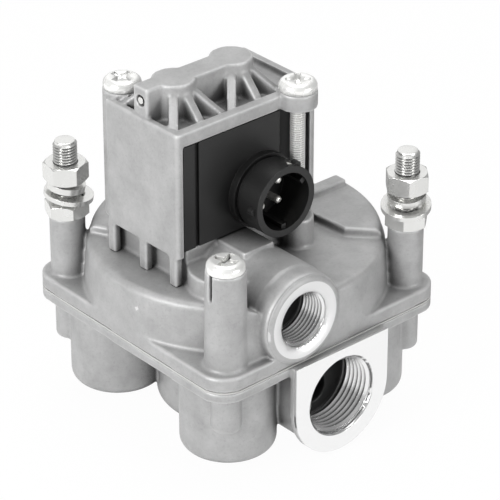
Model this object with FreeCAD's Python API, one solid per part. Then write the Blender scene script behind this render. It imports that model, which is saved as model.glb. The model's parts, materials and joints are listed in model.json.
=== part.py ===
import FreeCAD, Part
import math
import os

# ABS relay valve for compressed-air brakes, in millimetres, +Z up.
# The origin is the middle of the exhaust outlet's lower rim, on the ground.
# Front is -Y, where the two threaded ports and the plug face. Left is -X.

# Cutting tools reach this far past a face, and cast parts this far into each other
over = 1.0
cast_overlap = 4.0
passage_overlap = 2.0
thread_runout = 2.0
tiny = 1e-6

# Main casting heights
lower_depth = 34.9
lower_flange_t = 3.5
gasket_t = 0.5
upper_flange_t = 5.0
dome_h = 16.0
plateau_h = 3.0

# Flange outline
flange_half = 47.8
flange_corner_r = 8.8
screw_corner_more = 1.6
dome_r = 50.0
dome_taper = 1.4
dome_edge_r = 2.5
plateau_inset = 2.2
plateau_outline = ((-46.0, 51.0), (-33.6, 25.8), (-28.0, 14.0), (23.8, -10.0), (24.8, -25.6),
                   (33.1, -34.7), (60.0, -64.0), (60.0, 60.0), (-46.0, 60.0))
beam_front = -4.3
beam_back = 0.8
beam_end = 45.0
beam_h = 2.3
beam_gap = 0.4
low_back_x = 20.6
low_back_drop = 3.9

# Mounting studs at the left and right corners
stud_inset = 8.7
stud_off = flange_half - stud_inset
stud_r = 4.0
stud_top = 92.0
stud_boss_r = 5.9
stud_boss_h = 21.4
stud_foot_r = 4.9
stud_foot_drop = 15.5
stud_foot_edge_r = 1.5
stud_foot_floor = 3.0
stud_end_r = 0.8
stud_fit = 0.05
nut_af = 13.0
thin_nut_t = 4.8
full_nut_t = 6.4
nut_play = 0.12
washer_r = 8.2
washer_hole_r = 5.3
washer_t = 1.6
washer_tilt = 9.0
washer_shift = 0.75
spring_washer_r = 6.35
spring_washer_hole_r = 4.45
spring_washer_t = 2.1
spring_washer_gap = 2.2
spring_washer_drop = 1.1
washer_low_sides = (-30, 215)
thin_nut_turns = (8, 40)
top_nut_turns = (20, 52)
nut_face_inset = 0.2
stack_h = 7.7

# Screws that hold the two castings together, at the front and back corners
casting_screw_inset_x = 8.9
casting_screw_inset_y = 8.0
casting_screw_x = flange_half - casting_screw_inset_x
casting_screw_y = flange_half - casting_screw_inset_y
casting_screw_r = 3.0
casting_screw_fit = 0.05
casting_column_r = 6.5
casting_column_low_r = 7.0
casting_column_top = 77.6
casting_screw_end = 24.0
pan_head_r = 6.2
pan_head_h = 3.4
pan_head_edge_r = 2.2
cross_w = 1.9
cross_len = 8.0
cross_depth = 2.0
slot_w = 1.3
slot_x = 4.0
slot_depth = 9.5
casting_screw_turns = (20, 65)
web_reach = 0.8
front_wall_shift = 3.4
front_wall_w = 5.0
front_wall_left_top = 66.0
front_wall_right_top = 52.0

# Delivery outlets: four barrels facing down
barrel_off = 28.0
barrel_r = 15.8
barrel_z = 4.6
barrel_edge_r = 3.5
delivery_bore_r = 9.0
delivery_depth = 16.0
delivery_passage_r = 7.0
delivery_pocket_r = 9.8

# Exhaust barrel in the middle
exhaust_r = 26.7
exhaust_edge_r = 3.0
exhaust_bore_r = 20.0
exhaust_ring_z = 1.4

# Supply port, a big thread on the front of the lower casting
supply_x = 0.3
supply_y = -51.5
supply_z = 21.0
supply_face_r = 19.9
supply_boss_r = 18.4
supply_plate_t = 3.2
supply_bore_r = 13.4
supply_mouth = 0.8
supply_thread_depth = 14.0
supply_passage_r = 5.2
supply_passage_z = 17.4

# Control port, a smaller thread on the front of the upper casting
control_x = -15.2
control_y = -50.5
control_z = 54.8
control_face_r = 13.3
control_boss_r = 15.6
control_boss_len = 7.5
control_neck_r = 16.0
control_bore_r = 9.4
control_mouth = 0.8
control_thread_depth = 12.5
control_passage_r = 2.6
control_passage_z = 60.8
control_pad_w = 12.4
control_pad_front = -28.5

# Inside of the relay valve
chamber_r = 31.5
chamber_floor = 27.5
seat_wall = 3.0
piston_bore_r = 34.4
piston_roof_t = 5.4
piston_above_part = 3.6
piston_fit = 0.05
piston_t = 7.0
piston_web_t = 3.0
piston_rim_t = 4.5
piston_boss_r = 9.0
piston_stem_r = 6.4
piston_stem_bore_r = 4.6
piston_stem_bore_depth = 12.0
piston_rest_gap = 0.05
seal_w = 2.6
seal_depth = 2.4
seal_fit = 0.03
supply_chamber_r = 16.0
inlet_seat_r = 10.5
inlet_lip_t = 1.5
inlet_lip_h = 1.0
valve_disc_r = 13.6
valve_disc_t = 4.2
valve_rubber_t = 1.6
valve_rubber_r = 12.6
valve_tube_r = 6.5
valve_tube_bore_r = 3.6
valve_tube_low = 7.6
insert_bore_r = 17.0
insert_fit = 0.05
insert_t = 4.0
insert_top = 10.5
insert_guide_h = 5.0
insert_groove_w = 2.0
insert_groove_depth = 1.8
guide_wall = 2.6
guide_fit = 0.05
spring_wire_r = 0.7
spring_coil_r = 11.3
spring_turns = 4
ring_t = 1.2
ring_out = 1.2
ring_in = 1.8
ring_fit = 0.05
ring_gap_w = 7.0
flap_t = 1.5
flap_hole_r = 2.6
flap_hole_ring_r = 11.5
flap_holes = 6

# Pedestal on the dome, under the solenoid block
pedestal_x0 = -33.8
pedestal_x1 = 16.5
pedestal_y0 = -14.8
pedestal_y1 = 16.0
pedestal_top = 71.5
block_gasket_t = 0.8
block_gasket_inset = 1.0
round_boss_x = -24.7
round_boss_y = -23.6
round_boss_r = 12.3
round_boss_top = 66.6

# Solenoid cover, a ribbed casting
cover_x0 = -38.4
cover_x1 = 19.6
cover_y0 = -16.6
cover_y1 = 18.9
cover_wall = 2.6
cover_low = 70.2
cover_rim = 114.0
rail_w = 3.6
tray_depth = 2.4
cover_floor = cover_rim - tray_depth
cover_roof_t = 2.2
cover_edge_r = 1.2
foot_w = 3.7
foot_deep = 2.8
foot_middle_y = 1.3
foot_front_shift = 1.2
lobe_r = 7.0
lobe_y = 1.4
lobe_left_x = -24.6
lobe_right_x = -0.8
tower_h = 9.6
tower_top = cover_rim + tower_h
tower_wall = 2.6
spine_w = 6.8
spine_y = 2.5
spine_step = 1.2
neck_w = 9.0
rib_w = 3.0
rib_angles = (-40, 0, 34)
rib_top_drop = 2.4
rib_foot_drop = 1.6
cover_screw_a = (-29.9, 20.2)
cover_screw_b = (10.6, -17.8)
cover_boss_r = 6.4
boss_above_rim = 1.3
cover_boss_top = cover_rim + boss_above_rim
cover_screw_r = 2.5
cover_screw_fit = 0.05
cover_screw_room = 0.5
cover_screw_end = 57.5
cover_screw_turns = (10, 50)
head_room = 1.3
lower_boss_r = 5.5
lower_boss_top = 70.0
vent_r = 1.9
vent_fit = 0.03
vent_drop = 4.6
vent_z = tower_top - vent_drop
vent_len = 3.0
vent_recess = 1.2
vent_nub_r = 1.15
vent_nub_recess = 0.2

# Solenoid block with its bayonet plug
block_gap = 0.3
block_front = -16.2
block_top_gap = 0.4
block_right_front = 4.4
block_recess_y = -9.6
block_groove_x = -30.1
block_groove_w = 1.6
block_groove_depth = 1.0
coil_r = 9.2
coil_bore_r = 4.4
coil_h = 24.0
coil_base = 80.0
coil_wall_gap = 0.3
yoke_t = 1.8
yoke_margin = 1.0
yoke_gap = 0.3
core_tube_r = 4.2
core_tube_bore_r = 3.1
core_tube_base = 75.0
core_tube_top = 106.5
tube_fit = 0.05
armature_fit = 0.06
armature_h = 11.0
armature_stroke = 1.0
armature_bore_r = 2.1
armature_bore_depth = 6.0
core_fit = 0.03
nozzle_h = 2.0
nozzle_r = 1.6
nozzle_bore_r = 0.6
nozzle_root = 0.5
tip_h = 1.0
tip_r = 2.2
return_wire_r = 0.3
return_coil_r = 1.5
return_turns = 6
plug_axis_x = -4.3
plug_axis_z = 84.4
plug_face_y = -29.0
plug_out_r = 12.1
plug_in_r = 9.8
plug_groove_r = 11.3
plug_groove_w = 1.4
plug_collar_r = 12.75
plug_collar_t = 2.6
plug_floor_y = -16.8
plug_lug_r = 1.3
plug_lug_turns = (60, 180, 300)
plug_lug_set = 1.2
plug_lug_len = 2.2
plug_key_w = 1.8
plug_key_h = 1.5
plug_key_root = 0.8
plug_key_set = 1.0
plug_key_turns = (30, 150, 270)
pin_r = 1.25
pin_circle_r = 5.0
pin_tip_y = -22.0
pin_end_r = 0.85
pin_root = 3.0
pin_turn = 45.0

# Heights that follow
z_low_flange = lower_depth
z_part = z_low_flange + lower_flange_t
z_upper = z_part + gasket_t
z_flange_top = z_upper + upper_flange_t
z_dome = z_flange_top + dome_h
z_plateau = z_dome + plateau_h
piston_roof = z_dome - piston_roof_t
piston_low = z_part + piston_above_part
z_stud_boss = z_flange_top + stud_boss_h
z_thin_nut_top = z_stud_boss + thin_nut_t
z_top_nut = z_thin_nut_top + stack_h
z_seat = chamber_floor - seat_wall
z_valve = z_seat - inlet_lip_h
z_insert_low = insert_top - insert_t
z_exhaust_bore = exhaust_ring_z + ring_t + flap_t
z_cavity = cover_floor - cover_roof_t
z_block = pedestal_top + block_gasket_t
z_block_top = z_cavity - block_top_gap
z_coil_top = coil_base + coil_h
z_armature = core_tube_base + nozzle_h + tip_h
z_core = z_armature + armature_h + armature_stroke
Z = FreeCAD.Vector(0, 0, 1)
Y = FreeCAD.Vector(0, 1, 0)


def vec(x, y, z):
    return FreeCAD.Vector(x, y, z)


def box(x0, x1, y0, y1, z0, z1):
    return Part.makeBox(x1 - x0, y1 - y0, z1 - z0, vec(x0, y0, z0))


def rod(x, y, z0, z1, r):
    """A cylinder that stands on Z."""
    return Part.makeCylinder(r, z1 - z0, vec(x, y, z0), Z)


def rod_y(x, z, y0, y1, r):
    """A cylinder that lies along Y."""
    return Part.makeCylinder(r, y1 - y0, vec(x, y0, z), Y)


def ring(x, y, z0, z1, r, hole):
    return rod(x, y, z0, z1, r).cut(rod(x, y, z0 - over, z1 + over, hole))


def fuse(shapes):
    body = shapes[0].multiFuse(shapes[1:])
    return body.removeSplitter()


def cut(shape, tools):
    return shape.cut(tools)


def prism(points, z0, z1):
    """A closed outline of (x, y) points pulled up from z0 to z1."""
    corners = [vec(x, y, z0) for x, y in points]
    face = Part.Face(Part.makePolygon(corners + corners[:1]))
    return face.extrude(vec(0, 0, z1 - z0))


def round_edges_at(shape, radius, wanted):
    """Round the edges that pass the test."""
    edges = [e for e in shape.Edges if wanted(e)]
    return shape.makeFillet(radius, edges)


def is_round_at(edge, z):
    """True for a full circle that lies level at height z."""
    flat = abs(edge.BoundBox.ZMin - z) < tiny and abs(edge.BoundBox.ZMax - z) < tiny
    return flat and edge.Curve.TypeId == "Part::GeomCircle"


def is_rim_at(edge, y):
    """True for a full circle that stands upright at depth y."""
    flat = abs(edge.BoundBox.YMin - y) < tiny and abs(edge.BoundBox.YMax - y) < tiny
    return flat and edge.Curve.TypeId == "Part::GeomCircle"


def rounded_rod(x, y, z0, z1, r, edge_r, round_z):
    """A standing cylinder with one rounded end, at height round_z."""
    return round_edges_at(rod(x, y, z0, z1, r), edge_r, lambda e: is_round_at(e, round_z))


def vertical(edge):
    """True for an edge that runs along Z."""
    bounds = edge.BoundBox
    return bounds.XLength < tiny and bounds.YLength < tiny


def corner_signs():
    """Left and right stud corners."""
    return ((-1, 1), (1, -1))


def screw_signs():
    """Front and back screw corners."""
    return ((-1, -1), (1, 1))


def flange_plate(z0, z1):
    """The castings' shared outline: a rounded square, wider at the screws."""
    far = flange_half + screw_corner_more
    near = flange_half
    plate = prism([(-far, -far), (near, -near), (far, far), (-near, near)], z0, z1)
    return round_edges_at(plate, flange_corner_r, vertical)


def dome():
    """The round chamber wall, tapered for the mould and flush with the flange at its sides."""
    top_r = dome_r - dome_taper
    wall = Part.makeCone(dome_r, top_r, z_dome - z_flange_top, vec(0, 0, z_flange_top), Z)
    wall = round_edges_at(wall, dome_edge_r, lambda e: is_round_at(e, z_dome))
    return wall.common(flange_plate(z_flange_top, z_dome))


def stud_axes():
    return [(sx * stud_off, sy * stud_off) for sx, sy in corner_signs()]


def screw_axes():
    return [(sx * casting_screw_x, sy * casting_screw_y) for sx, sy in screw_signs()]


def barrel_axes():
    return [(sx * barrel_off, sy * barrel_off) for sx in (-1, 1) for sy in (-1, 1)]


def u_block(x, z, half, y0, y1, top):
    """A boss with a round lower end and straight sides up to a flat top."""
    low = rod_y(x, z, y0, y1, half).common(box(x - half, x + half, y0, y1, z - half, z))
    return fuse([low, box(x - half, x + half, y0, y1, z, top)])


def wedge_wall(p0, p1, width, z0, top0, top1):
    """An upright wall from p0 to p1 whose top slopes from top0 to top1."""
    length = math.hypot(p1[0] - p0[0], p1[1] - p0[1])
    angle = math.degrees(math.atan2(p1[1] - p0[1], p1[0] - p0[0]))
    side = [vec(0, 0, z0), vec(length, 0, z0), vec(length, 0, top1), vec(0, 0, top0)]
    face = Part.Face(Part.makePolygon(side + side[:1]))
    wall = face.extrude(vec(0, width, 0))
    wall.translate(vec(0, -width / 2, 0))
    wall.rotate(vec(0, 0, 0), Z, angle)
    wall.translate(vec(p0[0], p0[1], 0))
    return wall


def hexagon(x, y, z0, z1, across, turn):
    """A six-sided nut blank with chamfered corners."""
    corner_r = across / math.sqrt(3)
    angles = [math.radians(turn + 60 * i) for i in range(6)]
    blank = prism([(corner_r * math.cos(a), corner_r * math.sin(a)) for a in angles], z0, z1)
    drop = corner_r - across / 2
    slope = math.tan(math.radians(30))
    rise = drop * slope
    extra = nut_face_inset * slope
    face_r = across / 2 - nut_face_inset
    top = Part.makeCone(corner_r, face_r, rise + extra, vec(0, 0, z1 - rise), Z)
    low = Part.makeCone(face_r, corner_r, rise + extra, vec(0, 0, z0 - extra), Z)
    middle = rod(0, 0, z0 + rise, z1 - rise, corner_r)
    nut = blank.common(fuse([middle, top, low]))
    nut.translate(vec(x, y, 0))
    return nut


def helix_spring(x, y, z0, z1, coil_radius, wire_radius, turns):
    """A round-wire spring whose wire lies between z0 and z1."""
    height = z1 - z0 - 2 * wire_radius
    path = Part.makeHelix(height / turns, height, coil_radius)
    start = vec(coil_radius, 0, 0)
    section = Part.Wire(Part.makeCircle(wire_radius, start, Y))
    wire = Part.Wire(path.Edges).makePipeShell([section], True, True)
    wire.translate(vec(x, y, z0 + wire_radius))
    return wire


def pan_screw(x, y, z_seat_, z_end, shank_r, turn):
    """A pan head screw with a cross recess, head up."""
    head = rounded_rod(x, y, z_seat_, z_seat_ + pan_head_h, pan_head_r, pan_head_edge_r,
                       z_seat_ + pan_head_h)
    screw = fuse([head, rod(x, y, z_end, z_seat_, shank_r)])
    top = z_seat_ + pan_head_h
    half = cross_len / 2
    slots = [box(-half, half, -cross_w / 2, cross_w / 2, top - cross_depth, top + over),
             box(-cross_w / 2, cross_w / 2, -half, half, top - cross_depth, top + over)]
    cross = fuse(slots)
    cross.rotate(vec(0, 0, 0), Z, turn)
    cross.translate(vec(x, y, 0))
    return cut(screw, [cross])


def snap_ring(z0, bore_r):
    """A retaining ring, open at the back, sprung into a groove."""
    blank = ring(0, 0, z0, z0 + ring_t, bore_r + ring_out - ring_fit, bore_r - ring_in)
    gap = box(-ring_gap_w / 2, ring_gap_w / 2, 0, 2 * bore_r, z0 - over, z0 + ring_t + over)
    return cut(blank, [gap])


def lower_casting():
    """Lower housing: supply port, four delivery barrels and the exhaust barrel."""
    parts = [flange_plate(z_low_flange, z_part)]
    parts += [rounded_rod(x, y, barrel_z, z_low_flange, barrel_r, barrel_edge_r, barrel_z)
              for x, y in barrel_axes()]
    parts.append(rounded_rod(0, 0, 0, z_low_flange, exhaust_r, exhaust_edge_r, 0))
    plate_back = supply_y + supply_plate_t
    boss_end = -exhaust_r + cast_overlap
    parts.append(u_block(supply_x, supply_z, supply_face_r, supply_y, plate_back, z_part))
    parts.append(u_block(supply_x, supply_z, supply_boss_r, plate_back, boss_end, z_low_flange))
    foot_z = z_low_flange - stud_foot_drop
    parts += [rounded_rod(x, y, foot_z, z_low_flange, stud_foot_r, stud_foot_edge_r, foot_z)
              for x, y in stud_axes() + screw_axes()]
    body = fuse(parts)
    tools = [rod(0, 0, chamber_floor, z_part + over, chamber_r)]
    for x, y in barrel_axes():
        tools.append(rod(x, y, chamber_floor, z_part + over, delivery_pocket_r))
        tools.append(rod(x, y, barrel_z - over, barrel_z + delivery_depth, delivery_bore_r))
        tools.append(rod(x, y, barrel_z, chamber_floor + over, delivery_passage_r))
    tools.append(rod(0, 0, insert_top, z_seat, supply_chamber_r))
    tools.append(rod(0, 0, z_seat - over, chamber_floor + over, inlet_seat_r))
    tools.append(rod(0, 0, z_exhaust_bore - over, insert_top, insert_bore_r))
    tools.append(rod(0, 0, z_insert_low - ring_t, z_insert_low, insert_bore_r + ring_out))
    tools.append(rod(0, 0, -1, z_exhaust_bore, exhaust_bore_r))
    tools.append(rod(0, 0, exhaust_ring_z, exhaust_ring_z + ring_t, exhaust_bore_r + ring_out))
    bore_end = supply_y + supply_thread_depth
    tools.append(rod_y(supply_x, supply_z, supply_y - over, bore_end, supply_bore_r))
    tools.append(mouth(supply_x, supply_y, supply_z, supply_bore_r, supply_mouth))
    tools.append(rod_y(supply_x, supply_passage_z, supply_y, -supply_chamber_r + passage_overlap,
                       supply_passage_r))
    for x, y in stud_axes():
        tools.append(rod(x, y, foot_z + stud_foot_floor, z_part + over, stud_r + stud_fit))
    for x, y in screw_axes():
        tools.append(rod(x, y, casting_screw_end - thread_runout, z_part + over,
                         casting_screw_r + casting_screw_fit))
    body = cut(body, tools)
    lip = ring(0, 0, z_valve, z_seat, inlet_seat_r + inlet_lip_t, inlet_seat_r)
    return fuse([body, lip])


def casting_gasket():
    """Sheet gasket between the two castings."""
    sheet = flange_plate(z_part, z_upper)
    tools = [rod(0, 0, z_part - over, z_upper + over, piston_bore_r)]
    tools += [rod(x, y, z_part - over, z_upper + over, stud_r + stud_fit) for x, y in stud_axes()]
    tools += [rod(x, y, z_part - over, z_upper + over, casting_screw_r + casting_screw_fit)
              for x, y in screw_axes()]
    return cut(sheet, tools)


def plateau():
    """The back of the dome is a step higher, with a beam across it to the right."""
    r = dome_r - plateau_inset
    disc = rounded_rod(0, 0, z_flange_top, z_plateau, r, dome_edge_r, z_plateau)
    back = disc.common(prism(plateau_outline, z_flange_top, z_plateau + over))
    beam = box(cover_x1 + beam_gap, beam_end, beam_front, beam_back, z_dome,
               z_plateau + beam_h)
    return fuse([back, beam])


def low_back():
    """What is left off the dome behind the beam, right of the cover."""
    far = 2 * dome_r
    return box(low_back_x, far, beam_back, far, z_dome - low_back_drop, z_plateau + over)


def mouth(x, y, z, r, depth):
    """A countersink that opens towards -Y at the mouth of a port."""
    return Part.makeCone(r + depth, r, depth, vec(x, y, z), Y)


def screw_column(x, y):
    """Column for a corner screw, with the slot left by the core on its outer side."""
    side = math.copysign(1, x)
    height = casting_column_top - z_flange_top
    column = Part.makeCone(casting_column_low_r, casting_column_r, height,
                           vec(x, y, z_flange_top), Z)
    inner = math.copysign(dome_r / math.sqrt(2), x)
    web = wedge_wall((x, y), (inner * web_reach, inner * web_reach), casting_column_r, z_flange_top,
                     round_boss_top, round_boss_top)
    body = fuse([column, web])
    edge_x = x + side * casting_column_r
    x0 = min(edge_x - side * (casting_column_r - slot_x), edge_x + side)
    x1 = max(edge_x - side * (casting_column_r - slot_x), edge_x + side)
    slot = box(x0, x1, y - slot_w / 2, y + slot_w / 2, casting_column_top - slot_depth,
               casting_column_top + over)
    return cut(body, [slot])


def control_boss():
    """Boss of the control port and its neck, which runs back to the pedestal."""
    back = control_y + control_boss_len
    front = rod_y(control_x, control_z, control_y, back, control_boss_r)
    front = round_edges_at(front, control_boss_r - control_face_r, lambda e: is_rim_at(e, control_y))
    parts = [front]
    parts.append(rod_y(control_x, control_z, back, pedestal_y0 + over, control_neck_r))
    half = control_pad_w / 2
    parts.append(box(control_x - half, control_x + half, control_pad_front, pedestal_y0 + over,
                     control_z, pedestal_top))
    far = 2 * dome_r
    return cut(fuse(parts), [box(-far, far, -far, far, z_upper - far, z_upper)])


def upper_casting():
    """Upper housing: flange, dome, control port, pedestal and bosses."""
    parts = [flange_plate(z_upper, z_flange_top)]
    parts.append(dome())
    parts.append(plateau())
    parts = [cut(fuse(parts), [low_back()])]
    parts += [rod(x, y, z_upper, z_stud_boss, stud_boss_r) for x, y in stud_axes()]
    parts += [screw_column(x, y) for x, y in screw_axes()]
    parts.append(box(pedestal_x0, pedestal_x1, pedestal_y0, pedestal_y1, z_dome - cast_overlap,
                     pedestal_top))
    parts.append(rod(round_boss_x, round_boss_y, z_dome - cast_overlap, round_boss_top, round_boss_r))
    parts.append(control_boss())
    parts += [rod(x, y, z_dome - cast_overlap, lower_boss_top, lower_boss_r)
              for x, y in (cover_screw_a, cover_screw_b)]
    wall_y = -casting_screw_y - front_wall_shift
    parts.append(wedge_wall((-casting_screw_x, wall_y), (control_x, wall_y), front_wall_w,
                            z_flange_top, front_wall_left_top, front_wall_right_top))
    body = fuse(parts)
    tools = [rod(0, 0, z_upper - over, piston_roof, piston_bore_r)]
    bore_end = control_y + control_thread_depth
    tools.append(rod_y(control_x, control_z, control_y - over, bore_end, control_bore_r))
    tools.append(mouth(control_x, control_y, control_z, control_bore_r, control_mouth))
    tools.append(rod_y(control_x, control_passage_z, control_y, lobe_y, control_passage_r))
    tools.append(rod(control_x, lobe_y, control_passage_z, pedestal_top + over,
                     control_passage_r))
    tools.append(rod(lobe_right_x, lobe_y, piston_roof - over, pedestal_top + over,
                     control_passage_r))
    tools += [rod(x, y, z_upper - over, z_stud_boss + over, stud_r + stud_fit)
              for x, y in stud_axes()]
    tools += [rod(x, y, z_upper - over, casting_column_top + over,
                  casting_screw_r + casting_screw_fit) for x, y in screw_axes()]
    tools += [rod(x, y, cover_screw_end - over, lower_boss_top + over,
                  cover_screw_r + cover_screw_fit) for x, y in (cover_screw_a, cover_screw_b)]
    return cut(body, tools)


def relay_piston():
    """Disc piston with a hollow stem whose end is the exhaust seat."""
    z0 = piston_low
    z1 = piston_low + piston_t
    r = piston_bore_r - piston_fit
    z_end = z_valve + piston_rest_gap
    disc = rod(0, 0, z0, z1, r)
    recess = ring(0, 0, z0 + piston_web_t, z1 + over, r - piston_rim_t, piston_boss_r)
    stem = rod(0, 0, z_end, z0, piston_stem_r)
    body = cut(fuse([disc, stem]), [recess])
    middle = (z0 + z1) / 2
    groove = ring(0, 0, middle - seal_w / 2, middle + seal_w / 2, r + over, r - seal_depth)
    bore = rod(0, 0, z_end - over, z_end + piston_stem_bore_depth, piston_stem_bore_r)
    return cut(body, [groove, bore])


def piston_seal():
    middle = piston_low + piston_t / 2
    inner = piston_bore_r - piston_fit - seal_depth + seal_fit
    return ring(0, 0, middle - seal_w / 2, middle + seal_w / 2, piston_bore_r - seal_fit, inner)


def inlet_valve():
    """Valve disc on a tube; the tube carries exhaust air down and out."""
    disc = rod(0, 0, z_valve - valve_disc_t, z_valve, valve_disc_r)
    tube = rod(0, 0, valve_tube_low, z_valve, valve_tube_r)
    bore = rod(0, 0, valve_tube_low - over, z_valve + over, valve_tube_bore_r)
    seat = rod(0, 0, z_valve - valve_rubber_t, z_valve + over, valve_rubber_r)
    return cut(fuse([disc, tube]), [bore, seat])


def valve_rubber():
    """Rubber face that closes on the inlet lip and on the piston stem."""
    return ring(0, 0, z_valve - valve_rubber_t, z_valve, valve_rubber_r - seal_fit,
                valve_tube_bore_r)


def exhaust_insert():
    """Plug that closes the supply chamber and guides the valve tube."""
    hole = valve_tube_r + guide_fit
    plate = rod(0, 0, z_insert_low, insert_top, insert_bore_r - insert_fit)
    guide = rod(0, 0, insert_top, insert_top + insert_guide_h, hole + guide_wall)
    middle = z_insert_low + insert_t / 2
    low = middle - insert_groove_w / 2
    groove = ring(0, 0, low, low + insert_groove_w, insert_bore_r + over,
                  insert_bore_r - insert_groove_depth)
    bore = rod(0, 0, z_insert_low - over, insert_top + insert_guide_h + over, hole)
    return cut(fuse([plate, guide]), [groove, bore])


def insert_seal():
    low = z_insert_low + (insert_t - insert_groove_w) / 2
    return ring(0, 0, low, low + insert_groove_w, insert_bore_r - seal_fit,
                insert_bore_r - insert_groove_depth + seal_fit)


def exhaust_flap():
    """Rubber flap disc that keeps dirt out of the exhaust."""
    z0 = exhaust_ring_z + ring_t
    disc = rod(0, 0, z0, z0 + flap_t, exhaust_bore_r - seal_fit)
    holes = []
    for i in range(flap_holes):
        a = 2 * math.pi * i / flap_holes
        x = flap_hole_ring_r * math.cos(a)
        y = flap_hole_ring_r * math.sin(a)
        holes.append(rod(x, y, z0 - over, z0 + flap_t + over, flap_hole_r))
    return cut(disc, holes)


def mounting_studs():
    """Two long studs; their lower ends are screwed into the lower casting."""
    z0 = z_low_flange - stud_foot_drop + stud_foot_floor
    studs = []
    for x, y in stud_axes():
        studs.append(round_edges_at(rod(x, y, z0, stud_top, stud_r), stud_end_r,
                                    lambda e: is_round_at(e, stud_top)))
    return Part.makeCompound(studs)


def stud_nuts(z0, height, turns):
    nuts = []
    for (x, y), turn in zip(stud_axes(), turns):
        nut = hexagon(x, y, z0, z0 + height, nut_af, turn)
        nuts.append(cut(nut, [rod(x, y, z0 - over, z0 + height + over, stud_r + nut_play)]))
    return Part.makeCompound(nuts)


def tilted(shape, x, y, z, toward):
    """Tip a washer about its middle so that its side at angle toward is low."""
    a = math.radians(toward)
    middle = shape.BoundBox.ZMax / 2
    shape.translate(vec(0, 0, -middle))
    axis = vec(-math.sin(a), math.cos(a), 0)
    shape.rotate(vec(0, 0, 0), axis, washer_tilt)
    shape.translate(vec(x, y, z + middle))
    return shape


def flat_washers():
    """Loose flat washers that lie tipped on the thin nuts."""
    washers = []
    rise = washer_r * math.sin(math.radians(washer_tilt))
    for (x, y), toward in zip(stud_axes(), washer_low_sides):
        a = math.radians(toward)
        washer = ring(0, 0, 0, washer_t, washer_r, washer_hole_r)
        sx = x + washer_shift * math.cos(a)
        sy = y + washer_shift * math.sin(a)
        washers.append(tilted(washer, sx, sy, z_thin_nut_top + rise, toward))
    return Part.makeCompound(washers)


def spring_washers():
    """Split spring washers between the flat washers and the top nuts."""
    washers = []
    for (x, y), toward in zip(stud_axes(), washer_low_sides):
        z = z_top_nut - spring_washer_t - spring_washer_drop
        washer = ring(0, 0, 0, spring_washer_t, spring_washer_r, spring_washer_hole_r)
        gap = box(0, 2 * spring_washer_r, -spring_washer_gap / 2, spring_washer_gap / 2, -1,
                  spring_washer_t + over)
        washers.append(tilted(cut(washer, [gap]), x, y, z, toward))
    return Part.makeCompound(washers)


def casting_screws():
    screws = [pan_screw(x, y, casting_column_top, casting_screw_end, casting_screw_r, turn)
              for (x, y), turn in zip(screw_axes(), casting_screw_turns)]
    return Part.makeCompound(screws)


def cover_rib(x, angle, side):
    """A rib from a lobe of the tower down to the rim, on the front or back side."""
    rim_y = cover_y0 + rail_w if side < 0 else cover_y1 - rail_w
    run = abs(rim_y - lobe_y) / math.cos(math.radians(angle))
    a = math.radians(angle)
    reach = (math.sin(a), side * math.cos(a))
    p0 = (x + reach[0] * (lobe_r - over), lobe_y + reach[1] * (lobe_r - over))
    p1 = (x + reach[0] * run, lobe_y + reach[1] * run)
    return wedge_wall(p0, p1, rib_w, cover_floor - over, tower_top - rib_top_drop,
                      cover_rim - rib_foot_drop)


def solenoid_cover():
    """Ribbed cast cover over the solenoid block, open at the front."""
    shell = box(cover_x0, cover_x1, cover_y0, cover_y1, cover_low, cover_rim)
    shell = round_edges_at(shell, cover_edge_r, vertical)
    inside = box(cover_x0 + cover_wall, cover_x1 - cover_wall, cover_y0 - over,
                 cover_y1 - cover_wall, cover_low - over, z_cavity)
    tray = box(cover_x0 + cover_wall, cover_x1 - cover_wall, cover_y0 + rail_w,
               cover_y1 - cover_wall, cover_floor, cover_rim + over)
    shell = cut(shell, [inside, tray])
    parts = [shell]
    lobes = (lobe_left_x, lobe_right_x)
    parts += [rod(x, lobe_y, cover_floor - over, tower_top, lobe_r) for x in lobes]
    parts.append(box(lobe_left_x, lobe_right_x, lobe_y - neck_w / 2, lobe_y + neck_w / 2,
                     cover_floor - over, tower_top))
    parts.append(box(cover_x0 + spine_step, lobe_left_x, spine_y - spine_w / 2,
                     spine_y + spine_w / 2, cover_floor - over, tower_top))
    for x in lobes:
        for angle in rib_angles:
            parts.append(cover_rib(x, angle, -1))
            parts.append(cover_rib(x, angle, 1))
    parts += [rod(x, y, z_cavity, cover_boss_top, cover_boss_r)
              for x, y in (cover_screw_a, cover_screw_b)]
    sleeve = rod(cover_screw_a[0], cover_screw_a[1], cover_low, z_cavity + over, cover_boss_r)
    parts.append(cut(sleeve, [inside]))
    for y in (cover_y0 + foot_w / 2 + foot_front_shift, foot_middle_y, cover_y1 - foot_w / 2):
        parts.append(box(cover_x0, cover_x0 + foot_deep, y - foot_w / 2, y + foot_w / 2,
                         z_dome, cover_low + over))
        parts.append(box(cover_x1 - cover_wall, cover_x1, y - foot_w / 2, y + foot_w / 2,
                         z_plateau, cover_low + over))
    body = fuse(parts)
    tools = [rod(x, lobe_y, z_cavity - over, tower_top - tower_wall, lobe_r - tower_wall)
             for x in lobes]
    tools += [rod(x, y, cover_low - over, tower_top + over, cover_screw_r + cover_screw_fit)
              for x, y in (cover_screw_a, cover_screw_b)]
    tools += [rod(x, y, cover_boss_top, tower_top + over, cover_boss_r + head_room)
              for x, y in (cover_screw_a, cover_screw_b)]
    vent_x = cover_x0 + spine_step
    tools.append(Part.makeCylinder(vent_r + vent_fit, vent_len + over,
                                   vec(vent_x - over, spine_y, vent_z), vec(1, 0, 0)))
    return cut(body, tools)


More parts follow.
